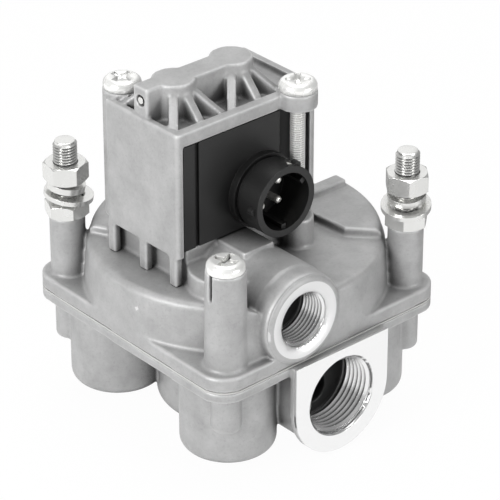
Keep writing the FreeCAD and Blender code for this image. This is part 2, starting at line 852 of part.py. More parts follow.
def vent_plug():
    """Small sunk plug with a nub, in the cover's left end."""
    vent_x = cover_x0 + spine_step
    along = vec(1, 0, 0)
    body = Part.makeCylinder(vent_r, vent_len - vent_recess,
                             vec(vent_x + vent_recess, spine_y, vent_z), along)
    nub = Part.makeCylinder(vent_nub_r, vent_len - vent_nub_recess,
                            vec(vent_x + vent_nub_recess, spine_y, vent_z), along)
    return fuse([body, nub])


def cover_screws():
    screws = [pan_screw(x, y, cover_boss_top, cover_screw_end, cover_screw_r, turn)
              for (x, y), turn in zip((cover_screw_a, cover_screw_b), cover_screw_turns)]
    return Part.makeCompound(screws)


def solenoid_block():
    """Moulded block that holds the coils and ends in the round plug."""
    x0 = cover_x0 + cover_wall + block_gap
    x1 = cover_x1 - cover_wall - block_gap
    y1 = cover_y1 - cover_wall - block_gap
    parts = [box(x0, x1, block_front, y1, z_block, z_block_top)]
    collar_y = block_front - plug_collar_t
    parts.append(rod_y(plug_axis_x, plug_axis_z, collar_y, block_front + over, plug_collar_r))
    sleeve_y = collar_y - plug_groove_w
    parts.append(rod_y(plug_axis_x, plug_axis_z, sleeve_y, block_front + over, plug_groove_r))
    parts.append(rod_y(plug_axis_x, plug_axis_z, plug_face_y, sleeve_y, plug_out_r))
    for turn in plug_lug_turns:
        a = math.radians(turn)
        x = plug_axis_x + plug_out_r * math.cos(a)
        z = plug_axis_z + plug_out_r * math.sin(a)
        lug_y = plug_face_y + plug_lug_set
        parts.append(rod_y(x, z, lug_y, lug_y + plug_lug_len, plug_lug_r))
    body = fuse(parts)
    corner = box(block_right_front, x1 + over, block_front - over, block_recess_y, z_block - over,
                 z_block_top + over)
    plug_keep = rod_y(plug_axis_x, plug_axis_z, block_front - over, block_recess_y,
                      plug_collar_r)
    tools = [corner.cut(plug_keep)]
    tools.append(box(block_groove_x - block_groove_w / 2, block_groove_x + block_groove_w / 2,
                     block_front - over, block_front + block_groove_depth, z_block - over,
                     z_block_top + over))
    tools.append(rod_y(plug_axis_x, plug_axis_z, plug_face_y - over, plug_floor_y, plug_in_r))
    for x in (lobe_left_x, lobe_right_x):
        tools.append(rod(x, lobe_y, coil_base, z_block_top + over, coil_r + coil_wall_gap))
        tools.append(rod(x, lobe_y, core_tube_base, coil_base + over, core_tube_r + tube_fit))
        tools.append(rod(x, lobe_y, z_block - over, core_tube_base + over, nozzle_bore_r))
    tools.append(rod(cover_screw_b[0], cover_screw_b[1], z_block - over, z_block_top + over,
                     cover_screw_r + cover_screw_room))
    yoke = yoke_box(yoke_gap)
    yoke_room = box(yoke[0], yoke[1], yoke[2], yoke[3], z_coil_top, z_block_top + over)
    tools.append(yoke_room)
    for x, z in pin_places():
        tools.append(rod_y(x, z, plug_floor_y - over, plug_floor_y + pin_root, pin_r + seal_fit))
    body = cut(body, tools)
    nozzles = []
    for x in (lobe_left_x, lobe_right_x):
        nozzles.append(ring(x, lobe_y, core_tube_base - nozzle_root, core_tube_base + nozzle_h,
                            nozzle_r, nozzle_bore_r))
    keys = []
    for turn in plug_key_turns:
        key = box(plug_in_r - plug_key_h, plug_in_r + plug_key_root, plug_face_y + plug_key_set,
                  plug_floor_y, -plug_key_w / 2, plug_key_w / 2)
        key.rotate(vec(0, 0, 0), Y, -turn)
        key.translate(vec(plug_axis_x, 0, plug_axis_z))
        keys.append(key)
    return fuse([body] + nozzles + keys)


def yoke_box(margin):
    """Plan limits of the yoke plate, grown by a margin."""
    r = coil_r + yoke_margin
    return (lobe_left_x - r - margin, lobe_right_x + r + margin, lobe_y - r - margin,
            lobe_y + r + margin)


def pin_places():
    """Centres of the four contact pins in the plug."""
    places = []
    for i in range(4):
        a = math.radians(pin_turn + 90 * i)
        places.append((plug_axis_x + pin_circle_r * math.cos(a),
                       plug_axis_z + pin_circle_r * math.sin(a)))
    return places


def contact_pins():
    pins = []
    for x, z in pin_places():
        pin = rod_y(x, z, pin_tip_y, plug_floor_y + pin_root, pin_r)
        pins.append(round_edges_at(pin, pin_end_r, lambda e: is_rim_at(e, pin_tip_y)))
    return Part.makeCompound(pins)


def block_gasket():
    """Gasket between the pedestal and the solenoid block."""
    inset = block_gasket_inset
    sheet = box(pedestal_x0 + inset, pedestal_x1 - inset, pedestal_y0 + inset,
                pedestal_y1 - inset, pedestal_top, z_block)
    holes = [rod(x, lobe_y, pedestal_top - over, z_block + over, control_passage_r)
             for x in (lobe_left_x, control_x, lobe_right_x)]
    return cut(sheet, holes)


def solenoid_coils():
    coils = [ring(x, lobe_y, coil_base, z_coil_top, coil_r, coil_bore_r)
             for x in (lobe_left_x, lobe_right_x)]
    return Part.makeCompound(coils)


def yoke_plate():
    """Steel plate over both coils."""
    x0, x1, y0, y1 = yoke_box(0)
    plate = box(x0, x1, y0, y1, z_coil_top, z_coil_top + yoke_t)
    holes = [rod(x, lobe_y, z_coil_top - over, z_coil_top + yoke_t + over, core_tube_r + tube_fit)
             for x in (lobe_left_x, lobe_right_x)]
    return cut(plate, holes)


def core_tubes():
    tubes = [ring(x, lobe_y, core_tube_base, core_tube_top, core_tube_r, core_tube_bore_r)
             for x in (lobe_left_x, lobe_right_x)]
    return Part.makeCompound(tubes)


def fixed_cores():
    cores = [rod(x, lobe_y, z_core, core_tube_top, core_tube_bore_r - core_fit)
             for x in (lobe_left_x, lobe_right_x)]
    return Part.makeCompound(cores)


def armature(x):
    """Moving iron core with a blind bore for its return spring."""
    body = rod(x, lobe_y, z_armature, z_armature + armature_h, core_tube_bore_r - armature_fit)
    top = z_armature + armature_h
    return cut(body, [rod(x, lobe_y, top - armature_bore_depth, top + over, armature_bore_r)])


def armature_tip(x):
    return rod(x, lobe_y, z_armature - tip_h, z_armature, tip_r)


def return_spring(x):
    z0 = z_armature + armature_h - armature_bore_depth
    return helix_spring(x, lobe_y, z0, z_core, return_coil_r, return_wire_r, return_turns)


def build_nodes():
    left = lobe_left_x
    right = lobe_right_x
    return {
        "lower_casting": lower_casting(),
        "casting_gasket": casting_gasket(),
        "upper_casting": upper_casting(),
        "relay_piston": relay_piston(),
        "piston_seal": piston_seal(),
        "inlet_valve": inlet_valve(),
        "valve_rubber": valve_rubber(),
        "valve_spring": helix_spring(0, 0, insert_top, z_valve - valve_disc_t, spring_coil_r,
                                     spring_wire_r, spring_turns),
        "exhaust_insert": exhaust_insert(),
        "insert_seal": insert_seal(),
        "insert_ring": snap_ring(z_insert_low - ring_t, insert_bore_r),
        "exhaust_flap": exhaust_flap(),
        "flap_ring": snap_ring(exhaust_ring_z, exhaust_bore_r),
        "mounting_studs": mounting_studs(),
        "thin_nuts": stud_nuts(z_stud_boss, thin_nut_t, thin_nut_turns),
        "flat_washers": flat_washers(),
        "spring_washers": spring_washers(),
        "top_nuts": stud_nuts(z_top_nut, full_nut_t, top_nut_turns),
        "casting_screws": casting_screws(),
        "solenoid_cover": solenoid_cover(),
        "vent_plug": vent_plug(),
        "cover_screws": cover_screws(),
        "solenoid_block": solenoid_block(),
        "contact_pins": contact_pins(),
        "block_gasket": block_gasket(),
        "solenoid_coils": solenoid_coils(),
        "yoke_plate": yoke_plate(),
        "core_tubes": core_tubes(),
        "fixed_cores": fixed_cores(),
        "intake_armature": armature(left),
        "intake_armature_tip": armature_tip(left),
        "intake_spring": return_spring(left),
        "outlet_armature": armature(right),
        "outlet_armature_tip": armature_tip(right),
        "outlet_spring": return_spring(right),
    }


def main():
    os.makedirs("parts", exist_ok=True)
    for name, shape in build_nodes().items():
        shape.exportStep(os.path.join("parts", name + ".step"))


main()
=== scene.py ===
import json
import math

import bpy
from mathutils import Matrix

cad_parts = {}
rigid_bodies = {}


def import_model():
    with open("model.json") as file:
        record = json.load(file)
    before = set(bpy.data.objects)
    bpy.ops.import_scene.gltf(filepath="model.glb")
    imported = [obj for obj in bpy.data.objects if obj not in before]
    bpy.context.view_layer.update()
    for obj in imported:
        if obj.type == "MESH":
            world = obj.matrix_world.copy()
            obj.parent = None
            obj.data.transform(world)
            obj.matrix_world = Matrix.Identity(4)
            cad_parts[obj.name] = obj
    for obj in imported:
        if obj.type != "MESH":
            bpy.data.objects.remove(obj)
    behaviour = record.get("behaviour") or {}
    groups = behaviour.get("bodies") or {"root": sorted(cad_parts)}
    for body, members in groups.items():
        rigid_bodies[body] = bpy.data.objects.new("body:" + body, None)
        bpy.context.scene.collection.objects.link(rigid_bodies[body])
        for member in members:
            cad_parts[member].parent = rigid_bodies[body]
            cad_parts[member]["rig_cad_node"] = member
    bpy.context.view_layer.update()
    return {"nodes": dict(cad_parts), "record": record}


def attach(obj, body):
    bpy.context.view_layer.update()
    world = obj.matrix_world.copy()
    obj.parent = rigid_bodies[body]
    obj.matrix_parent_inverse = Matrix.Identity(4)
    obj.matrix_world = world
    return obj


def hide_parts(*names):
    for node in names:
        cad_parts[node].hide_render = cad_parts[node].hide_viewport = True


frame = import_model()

# Looks of an ABS relay valve. Metres, +Z up, the same frame as the solids.
# The CAD solids stay as they are. Cast pieces are shown by softened copies of them.

bl_info = {
    "name": "ABS relay valve dressing",
    "version": (1, 0, 0),
    "blender": (4, 5, 0),
    "location": "View3D > Sidebar > Valve",
    "description": "Dresses the solids of an ABS relay valve and lights them",
    "category": "Object",
}

MM = 0.001

# Places taken from the solids, in millimetres
SUPPLY = (0.3, -51.5, 21.0)
SUPPLY_BORE_R = 13.4
SUPPLY_DEPTH = 14.0
CONTROL = (-15.2, -50.5, 54.8)
CONTROL_BORE_R = 9.4
CONTROL_DEPTH = 12.5
CONTROL_FACE_R = 13.2
PORT_MOUTH = 0.8
SUPPLY_SLAB = 1.0
CONTROL_SLAB = 0.9
DELIVERY_OFF = 28.0
DELIVERY_Z = 4.6
DELIVERY_BORE_R = 9.0
DELIVERY_DEPTH = 16.0
DELIVERY_FACE_R = 12.2
STUD_OFF = 39.1
STUD_LOW = 22.4
STUD_THREAD_LOW = 64.0
STUD_TOP = 92.0
STUD_R = 4.0
COVER_SCREW_A = (-29.9, 20.2)
COVER_SCREW_B = (10.6, -17.8)
COVER_SCREW_LOW = 57.5
COVER_SCREW_HEAD = 115.3
COVER_SCREW_R = 2.5
PLUG = (-4.3, -29.0, 84.4)
PLUG_OUT_R = 12.1

# The mark on the plug: radius, thickness, how deep it sits, how far back and round it stands
ARROW_R = 1.0
ARROW_T = 0.5
ARROW_SINK = 0.1
ARROW_BACK = 2.2
ARROW_TURN = 14.0

# Threads: ridge height in mm or as a share of the pitch, start and runout in turns
OUTER_RIDGE_SHARE = 0.6
SUPPLY_RIDGE = 0.95
CONTROL_RIDGE = 0.75
DELIVERY_RIDGE = 0.6
PORT_THREAD_START = 0.3
PORT_THREAD_RUNOUT = 1.5
DELIVERY_THREAD_START = 0.75
DELIVERY_THREAD_RUNOUT = 2.0
STUD_THREAD_RUNOUT_MM = 1.2
SCREW_THREAD_START_MM = 0.6
SCREW_THREAD_RUNOUT_MM = 2.0

# Share of the softened castings' triangles that is kept, and where shading stays sharp
BODY_DETAIL = 0.4
COVER_DETAIL = 0.6
CAST_ANGLE = 40
THREAD_ANGLE = 35

# Nodes that wear another finish than their slot's own: the screw heads take a paler copy of the
# plating, painted as lit
LOOKS = {"casting_screws": "zinc_steel_head_lit"}

# The camera was fitted to the photograph: its picture angle, distance and aim
CAMERA_AZ = -41.34
CAMERA_EL = 29.4
CAMERA_DISTANCE = 980.03
CAMERA_LENS = 216.07
AIM_RIGHT = 4.58
AIM_UP = -6.03
AIM_Z = 60.0

# Each studio light: name, place and aim in metres, side in metres, power in watts
LIGHTS = (
    ("key", (-0.95, -0.05, 0.45), (0, 0, 0.06), 0.45, 8.3),
    ("front", (0.3, -0.95, 0.15), (0, 0, 0.04), 0.45, 4.8),
    ("top", (0.1, 0.1, 1.0), (0, 0, 0.06), 0.7, 5.2),
    ("behind", (0.5, 0.72, 0.5), (0, 0, 0.06), 0.8, 0.8),
)

# The room is even, brighter toward the far wall and darker toward the near right
ROOM_LEVEL = 0.42
FAR_WALL = (0.575, 0.654, 0.491)
FAR_WALL_EDGES = (0.75, 0.95)
FAR_WALL_LIFT = 0.2
DARK_SIDE = (0.8, -0.6, 0.0)
DARK_SIDE_EDGES = (0.35, 0.8)
DARK_SIDE_DROP = 0.2

# Floor in metres: its painted glow in reflections fades to FADED between two distances along
# FADE_SIDE
FLOOR_SIZE = 6.0
FLOOR_GAP = 0.0002
FADE_SIDE = (0.94, 0.34, 0.0)
FADE_EDGES = (0.045, 0.09)
FADED = 0.35
SEEN_WHITE = 0.97

# Cast surface in millimetres: grain, specks, cloudy tone, reach of the shade in corners and
# in bores, softness of edges, and how high the grain stands
CAST_GRAIN = 0.45
CAST_SPECK = 0.9
CAST_CLOUD = 9.0
CORNER_REACH = 9.0
BORE_REACH = 30.0
CAST_SOFT = 0.3
CAST_GRAIN_HEIGHT = 0.12

# Machined surface in millimetres: grooves up to this width are painted dark as shade, softness,
# groove depth
GROOVE_SHADE_REACH = 1.2
MACHINED_SOFT = 0.12
TURNING_DEPTH = 0.01

XY = (1, 1, 0)
XZ = (1, 0, 1)
ALONG_Y = (0, 1, 0)
ALONG_Z = (0, 0, 1)

# Finishes by name, filled by main()
MATERIALS = {}


def linear(code):
    """An sRGB hex colour as linear red, green, blue and alpha."""
    channels = []
    for i in (1, 3, 5):
        c = int(code[i:i + 2], 16) / 255
        channels.append(c / 12.92 if c <= 0.04045 else ((c + 0.055) / 1.055) ** 2.4)
    return (*channels, 1.0)


def add_node(tree, kind, values=None, **settings):
    """Add one shader node, set its plain inputs and properties, and return it."""
    made = tree.nodes.new(kind)
    for key, value in settings.items():
        setattr(made, key, value)
    for key, value in (values or {}).items():
        made.inputs[key].default_value = value
    return made


def new_material(name):
    """An empty node material with a surface shader and object coordinates in millimetres."""
    material = bpy.data.materials.new(name)
    material.use_nodes = True
    tree = material.node_tree
    tree.nodes.clear()
    out = add_node(tree, "ShaderNodeOutputMaterial")
    shader = add_node(tree, "ShaderNodeBsdfPrincipled")
    tree.links.new(shader.outputs["BSDF"], out.inputs["Surface"])
    place = add_node(tree, "ShaderNodeTexCoord")
    scale = add_node(tree, "ShaderNodeVectorMath", operation="SCALE", values={"Scale": 1 / MM})
    tree.links.new(place.outputs["Object"], scale.inputs[0])
    return material, tree, shader, scale.outputs["Vector"]


def noise(tree, where, size_mm, detail=3.0, roughness=0.5):
    """Noise whose blotches are about size_mm wide."""
    made = add_node(tree, "ShaderNodeTexNoise",
                    {"Scale": 1 / size_mm, "Detail": detail, "Roughness": roughness})
    tree.links.new(where, made.inputs["Vector"])
    return made.outputs["Fac"]


def between(tree, value, start, end, low, high):
    """Map start to end onto low to high, and hold the ends."""
    made = add_node(tree, "ShaderNodeMapRange", {"From Min": start, "From Max": end,
                                                 "To Min": low, "To Max": high})
    tree.links.new(value, made.inputs["Value"])
    return made.outputs["Result"]


def spread(tree, value, low, high):
    """Spread the middle of a noise over the range low to high."""
    return between(tree, value, 0.3, 0.7, low, high)


def blend(tree, share, colour, code):
    """Mix the colour output with a fixed colour by share."""
    made = add_node(tree, "ShaderNodeMix", data_type="RGBA")
    tree.links.new(share, made.inputs["Factor"])
    tree.links.new(colour, made.inputs["A"])
    made.inputs["B"].default_value = linear(code)
    return made.outputs["Result"]


def tint(tree, value, dark, light):
    """Mix two colours by a 0 to 1 value."""
    made = add_node(tree, "ShaderNodeMix", data_type="RGBA")
    tree.links.new(value, made.inputs["Factor"])
    made.inputs["A"].default_value = linear(dark)
    made.inputs["B"].default_value = linear(light)
    return made.outputs["Result"]


def hollow_shade(tree, reach_mm, shut, open_at, most):
    """Share of painted shade: 0 on open faces, up to most where faces within reach_mm close the
    surface in.
    """
    made = add_node(tree, "ShaderNodeAmbientOcclusion", {"Distance": reach_mm * MM}, samples=8)
    return between(tree, made.outputs["AO"], shut, open_at, most, 0.0)


def turned(tree, where, across, centre, r, along, limit):
    """1 within r of an axis through centre, up to limit along it; 0 elsewhere."""
    flat = add_node(tree, "ShaderNodeVectorMath", operation="MULTIPLY")
    tree.links.new(where, flat.inputs[0])
    flat.inputs[1].default_value = across
    off = add_node(tree, "ShaderNodeVectorMath", operation="DISTANCE")
    tree.links.new(flat.outputs["Vector"], off.inputs[0])
    off.inputs[1].default_value = [a * c for a, c in zip(across, centre)]
    depth = add_node(tree, "ShaderNodeVectorMath", operation="DOT_PRODUCT")
    tree.links.new(where, depth.inputs[0])
    depth.inputs[1].default_value = along
    inside = add_node(tree, "ShaderNodeMath", {1: r}, operation="LESS_THAN")
    tree.links.new(off.outputs["Value"], inside.inputs[0])
    near = add_node(tree, "ShaderNodeMath", {1: limit}, operation="LESS_THAN")
    tree.links.new(depth.outputs["Value"], near.inputs[0])
    both = add_node(tree, "ShaderNodeMath", operation="MULTIPLY")
    tree.links.new(inside.outputs["Value"], both.inputs[0])
    tree.links.new(near.outputs["Value"], both.inputs[1])
    return both.outputs["Value"]


def machined_places(tree, where):
    """1 on the faces and bores of the ports, which are cut after casting."""
    mirrored = add_node(tree, "ShaderNodeVectorMath", operation="ABSOLUTE")
    tree.links.new(where, mirrored.inputs[0])
    delivery = (DELIVERY_OFF, DELIVERY_OFF, 0)
    places = [
        turned(tree, where, XZ, CONTROL, CONTROL_FACE_R, ALONG_Y, CONTROL[1] + 0.3),
        turned(tree, where, XZ, CONTROL, CONTROL_BORE_R + PORT_MOUTH, ALONG_Y,
               CONTROL[1] + CONTROL_DEPTH - 0.5),
        turned(tree, where, XZ, SUPPLY, SUPPLY_BORE_R + PORT_MOUTH, ALONG_Y,
               SUPPLY[1] + SUPPLY_DEPTH - 0.5),
        turned(tree, mirrored.outputs["Vector"], XY, delivery, DELIVERY_FACE_R, ALONG_Z,
               DELIVERY_Z + 0.3),
        turned(tree, mirrored.outputs["Vector"], XY, delivery, DELIVERY_BORE_R + 0.4, ALONG_Z,
               DELIVERY_Z + DELIVERY_DEPTH - 0.5),
    ]
    total = places[0]
    for place in places[1:]:
        made = add_node(tree, "ShaderNodeMath", operation="MAXIMUM")
        tree.links.new(total, made.inputs[0])
        tree.links.new(place, made.inputs[1])
        total = made.outputs["Value"]
    return total


def port_end_shade(tree, where):
    """1 behind the threads of the two front ports, where the passages are painted dark as shade.
    """
    ends = []
    for centre, r, depth in ((SUPPLY, SUPPLY_BORE_R, SUPPLY_DEPTH),
                             (CONTROL, CONTROL_BORE_R, CONTROL_DEPTH)):
        behind = turned(tree, where, XZ, centre, r + 0.3, ALONG_Y, centre[1] + 3 * depth)
        front = turned(tree, where, XZ, centre, r + 0.3, ALONG_Y, centre[1] + depth - 0.3)
        made = add_node(tree, "ShaderNodeMath", operation="SUBTRACT")
        tree.links.new(behind, made.inputs[0])
        tree.links.new(front, made.inputs[1])
        ends.append(made.outputs["Value"])
    total = add_node(tree, "ShaderNodeMath", operation="ADD")
    tree.links.new(ends[0], total.inputs[0])
    tree.links.new(ends[1], total.inputs[1])
    return total.outputs["Value"]


def bump(tree, shader, height, distance_mm, strength=1.0, soft_mm=0.0):
    """Drive the shader's normal with a height, over edges softened by soft_mm."""
    made = add_node(tree, "ShaderNodeBump", {"Strength": strength, "Distance": distance_mm * MM})
    tree.links.new(height, made.inputs["Height"])
    if soft_mm:
        soft = add_node(tree, "ShaderNodeBevel", {"Radius": soft_mm * MM}, samples=4)
        tree.links.new(soft.outputs["Normal"], made.inputs["Normal"])
    tree.links.new(made.outputs["Normal"], shader.inputs["Normal"])


def plain(name, dark, light, metal, rough_low, rough_high, grain_mm, depth_mm, soft_mm=0.15,
          root_shade_mm=0.0, root_shade_colour="#141414"):
    """A surface with a fine grain. Grooves narrower than the root reach are painted dark as shade,
    if it is given.
    """
    material, tree, shader, where = new_material(name)
    grain = noise(tree, where, grain_mm)
    blotch = noise(tree, where, grain_mm * 12)
    base = tint(tree, blotch, dark, light)
    if root_shade_mm:
        # painted shade: a dark colour in narrow grooves and thread roots
        base = blend(tree, hollow_shade(tree, root_shade_mm, 0.35, 0.8, 0.95), base, root_shade_colour)
    tree.links.new(base, shader.inputs["Base Color"])
    tree.links.new(spread(tree, blotch, rough_low, rough_high), shader.inputs["Roughness"])
    shader.inputs["Metallic"].default_value = metal
    bump(tree, shader, grain, depth_mm, 0.6, soft_mm)
    return material


def cast_aluminium():
    """Blasted die-cast aluminium: light grey and cloudy, painted shade in corners and bores, edges
    and fillet roots painted pale as highlights, the edges also rubbed pale.
    """
    material, tree, shader, where = new_material("cast_aluminium")
    grain = noise(tree, where, CAST_GRAIN, 4.0, 0.6)
    cloud = noise(tree, where, CAST_CLOUD, 6.0, 0.72)
    speck = noise(tree, where, CAST_SPECK, 2.0, 0.7)
    base = tint(tree, spread(tree, cloud, 0.0, 1.0), "#999999", "#b0b0b0")
    base = blend(tree, between(tree, speck, 0.55, 0.72, 0.0, 0.3), base, "#868686")
    # Painted shade darkens the corners
    base = blend(tree, hollow_shade(tree, CORNER_REACH, 0.3, 0.8, 0.45), base, "#606060")
    # Pointiness is over 0.5 on edges and under 0.5 in the roots of fillets. Both get a painted
    # highlight, the edges also pale rubbed wear
    edges = add_node(tree, "ShaderNodeNewGeometry").outputs["Pointiness"]
    base = blend(tree, between(tree, edges, 0.51, 0.56, 0.0, 0.7), base, "#d8d8d8")
    base = blend(tree, between(tree, edges, 0.44, 0.48, 0.5, 0.0), base, "#d0d0d0")
    # The ports are cut after casting. They are brighter and smoother, and painted dark far inside
    # as shade
    cut = machined_places(tree, where)
    base = blend(tree, cut, base, "#e2e2e2")
    base = blend(tree, hollow_shade(tree, BORE_REACH, 0.08, 0.3, 0.95), base, "#161616")
    base = blend(tree, port_end_shade(tree, where), base, "#2a2a2a")
    tree.links.new(base, shader.inputs["Base Color"])
    rough = add_node(tree, "ShaderNodeMix", data_type="FLOAT")
    rough.inputs["B"].default_value = 0.34
    tree.links.new(cut, rough.inputs["Factor"])
    tree.links.new(spread(tree, cloud, 0.42, 0.52), rough.inputs["A"])
    tree.links.new(rough.outputs["Result"], shader.inputs["Roughness"])
    tree.links.new(between(tree, cut, 0.0, 1.0, 0.3, 0.9), shader.inputs["Metallic"])
    bump(tree, shader, grain, CAST_GRAIN_HEIGHT, 0.5, CAST_SOFT)
    return material


def machined_aluminium():
    """Faced and turned aluminium: bright, with fine rings round the axis of each bore."""
    material, tree, shader, where = new_material("machined_aluminium")
    streak = add_node(tree, "ShaderNodeTexWave",
                      {"Scale": 0.9, "Distortion": 1.5, "Detail": 2.0, "Detail Scale": 1.0},
                      wave_type="RINGS", rings_direction="Y")
    tree.links.new(where, streak.inputs["Vector"])
    base = tint(tree, streak.outputs["Fac"], "#eeeeee", "#f8f8f8")
    # Painted shade darkens the grooves and thread roots
    base = blend(tree, hollow_shade(tree, GROOVE_SHADE_REACH, 0.45, 0.9, 0.97), base, "#101010")
    tree.links.new(base, shader.inputs["Base Color"])
    shader.inputs["Metallic"].default_value = 0.9
    shader.inputs["Roughness"].default_value = 0.22
    bump(tree, shader, streak.outputs["Fac"], TURNING_DEPTH, 0.5, MACHINED_SOFT)
    return material


def black_nylon():
    """Moulded black nylon with a fine matt grain."""
    material, tree, shader, where = new_material("black_nylon")
    grain = noise(tree, where, 0.35, 3.0)
    blotch = noise(tree, where, 6.0)
    tree.links.new(tint(tree, blotch, "#0e0e0e", "#141414"), shader.inputs["Base Color"])
    tree.links.new(spread(tree, grain, 0.36, 0.48), shader.inputs["Roughness"])
    bump(tree, shader, grain, 0.03, 0.4, 0.25)
    return material


def all_materials():
    """One Blender material for each slot of the record, and three more for zinc plating."""
    return {
        "cast_aluminium": cast_aluminium(),
        "machined_aluminium": machined_aluminium(),
        "black_nylon": black_nylon(),
        # Bright zinc plating over turned or pressed steel: clear mirror faces, grooves painted
        # dark as shade
        "zinc_steel": plain("zinc_steel", "#dededc", "#e8e8e6", 0.85, 0.2, 0.3, 0.5, 0.008,
                            root_shade_mm=0.9),
        # The same plating in a rolled thread: crisp crests over roots painted dark as shade
        "zinc_steel_thread": plain("zinc_steel_thread", "#e0e0de", "#e8e8e6", 0.85, 0.2, 0.26,
                                   0.5, 0.002, soft_mm=0.0, root_shade_mm=0.7),
        # The same plating on pressed screw heads: a paler, less metallic copy painted as lit, with
        # a dull sheen and recesses painted dark as shade
        "zinc_steel_head_lit": plain("zinc_steel_head_lit", "#e8e8e6", "#f0f0ee", 0.45, 0.2, 0.3, 0.5,
                                 0.004, root_shade_mm=0.9),
        # The same plating on the long cover screws: a copy painted nearly white as lit, with roots
        # painted soft grey as shade
        "zinc_steel_pale_lit": plain("zinc_steel_pale_lit", "#f0f0ee", "#f6f6f4", 0.4, 0.3, 0.4, 0.5,
                                 0.002, soft_mm=0.0, root_shade_mm=0.6, root_shade_colour="#8c8c8a"),
        # Hardened spring steel, ground: grey and less bright than zinc
        "spring_steel": plain("spring_steel", "#8b8b8c", "#a0a0a0", 0.95, 0.3, 0.4, 0.4, 0.01),
        # Moulded nitrile rubber: nearly black and dull
        "rubber": plain("rubber", "#161616", "#202020", 0.0, 0.6, 0.75, 0.3, 0.02),
        # Pressed fibre gasket: pale grey and chalky
        "gasket_fibre": plain("gasket_fibre", "#b4b4b2", "#c0c0be", 0.0, 0.7, 0.85, 0.3, 0.03),
        # Tin plating on turned brass pins: pale, with a soft gleam
        "tinned_brass": plain("tinned_brass", "#efeee9", "#f8f7f2", 0.8, 0.3, 0.4, 0.4, 0.005),
        # Poured coil resin: dark brown and glossy
        "coil_resin": plain("coil_resin", "#2a1612", "#3a1e18", 0.0, 0.25, 0.35, 0.8, 0.01),
        # Turned soft iron: mid grey, with a dull gleam
        "soft_iron": plain("soft_iron", "#77787a", "#8b8c8e", 0.95, 0.35, 0.45, 0.4, 0.01),
    }


def deselect():
    """Leave edit mode and select nothing."""
    if bpy.context.object and bpy.context.object.mode != "OBJECT":
        bpy.ops.object.mode_set(mode="OBJECT")
    bpy.ops.object.select_all(action="DESELECT")


def take(piece):
    """Make piece the only selected and the active object."""
    deselect()
    piece.select_set(True)
    bpy.context.view_layer.objects.active = piece


def bake(piece):
    """Put the piece's place, turn and size into its mesh."""
    take(piece)
    bpy.ops.object.transform_apply(location=True, rotation=True, scale=True)


def modify(piece, kind, **settings):
    """Add one modifier, set it and apply it."""
    take(piece)
    modifier = piece.modifiers.new(kind.lower(), kind)
    for key, value in settings.items():
        setattr(modifier, key, value)
    bpy.ops.object.modifier_apply(modifier=modifier.name)


def outward(piece):
    """Merge doubled points and turn all normals outward."""
    take(piece)
    bpy.ops.object.mode_set(mode="EDIT")
    bpy.ops.mesh.select_all(action="SELECT")
    bpy.ops.mesh.remove_doubles(threshold=1e-6)
    bpy.ops.mesh.normals_make_consistent(inside=False)
    bpy.ops.object.mode_set(mode="OBJECT")


def smooth(piece, degrees):
    """Shade smooth, but keep edges sharper than the angle."""
    take(piece)
    bpy.ops.object.shade_smooth_by_angle(angle=math.radians(degrees))


def copy_of(node, name):
    """A merged copy of a CAD node's mesh."""
    take(frame["nodes"][node])
    bpy.ops.object.duplicate()
    piece = bpy.context.object
    piece.name = name
    piece.parent = None
    del piece["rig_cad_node"]
    piece.data.name = name
    outward(piece)
    return piece


def cut_off(piece, point, normal):
    """Remove what lies on the side of the plane that normal points to, and close the cut."""
    take(piece)
    bpy.ops.object.mode_set(mode="EDIT")
    bpy.ops.mesh.select_all(action="SELECT")
    bpy.ops.mesh.bisect(plane_co=point, plane_no=normal, use_fill=True, clear_outer=True)
    bpy.ops.object.mode_set(mode="OBJECT")


def join(pieces, name):
    """Join pieces into the first one."""
    deselect()
    for piece in pieces:
        piece.select_set(True)
    bpy.context.view_layer.objects.active = pieces[0]
    if len(pieces) > 1:
        bpy.ops.object.join()
    pieces[0].name = name
    pieces[0].data.name = name
    return pieces[0]


def dress(piece, slot, nodes=(), look=""):
    """Give a finished piece the material of its slot or look, the housing as body, and hide the
    nodes it replaces.
    """
    piece.data.materials.clear()
    piece.data.materials.append(MATERIALS[look or slot])
    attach(piece, "housing")
    if nodes:
        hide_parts(*nodes)


def cylinder(name, x, y, z0, z1, r, bevel=0.0, sides=64):
    """A standing cylinder in millimetres, with bevelled rims."""
    bpy.ops.mesh.primitive_cylinder_add(vertices=sides, radius=r * MM, depth=(z1 - z0) * MM,
                                        location=(x * MM, y * MM, (z0 + z1) / 2 * MM))
    piece = bpy.context.object
    piece.name = name
    bake(piece)
    if bevel:
        modify(piece, "BEVEL", width=bevel * MM, segments=2, limit_method="ANGLE",
               angle_limit=math.radians(40))
    return piece


def thread(name, r, depth, pitch, length, steps=48):
    """A ridge that winds up Z from the origin: a diamond profile of half width depth at r."""
    bpy.ops.mesh.primitive_circle_add(vertices=4, radius=MM, fill_type="NOTHING",
                                      location=(r * MM, 0, 0), rotation=(math.pi / 2, 0, 0))
    piece = bpy.context.object
    piece.name = name
    piece.scale = (depth, pitch / 2, 1)
    bake(piece)
    turns = max(1, round(length / pitch))
    modify(piece, "SCREW", angle=2 * math.pi, screw_offset=pitch * MM, iterations=turns,
           steps=steps, render_steps=steps, axis="Z", use_merge_vertices=False,
           use_smooth_shade=False)
    take(piece)
    bpy.ops.object.mode_set(mode="EDIT")
    bpy.ops.mesh.select_all(action="SELECT")
    bpy.ops.mesh.fill_holes(sides=4)
    bpy.ops.object.mode_set(mode="OBJECT")
    outward(piece)
    return piece


def lay_forward(piece, x, y, z):
    """Turn a piece that winds up Z so that it starts at the left and runs back along +Y."""
    piece.rotation_euler = (-math.pi / 2, math.pi, 0)
    piece.location = (x * MM, y * MM, z * MM)
    bake(piece)


def stand_at(piece, x, y, z):
    """Move a piece that winds up Z to its foot."""
    piece.location = (x * MM, y * MM, z * MM)
    bake(piece)


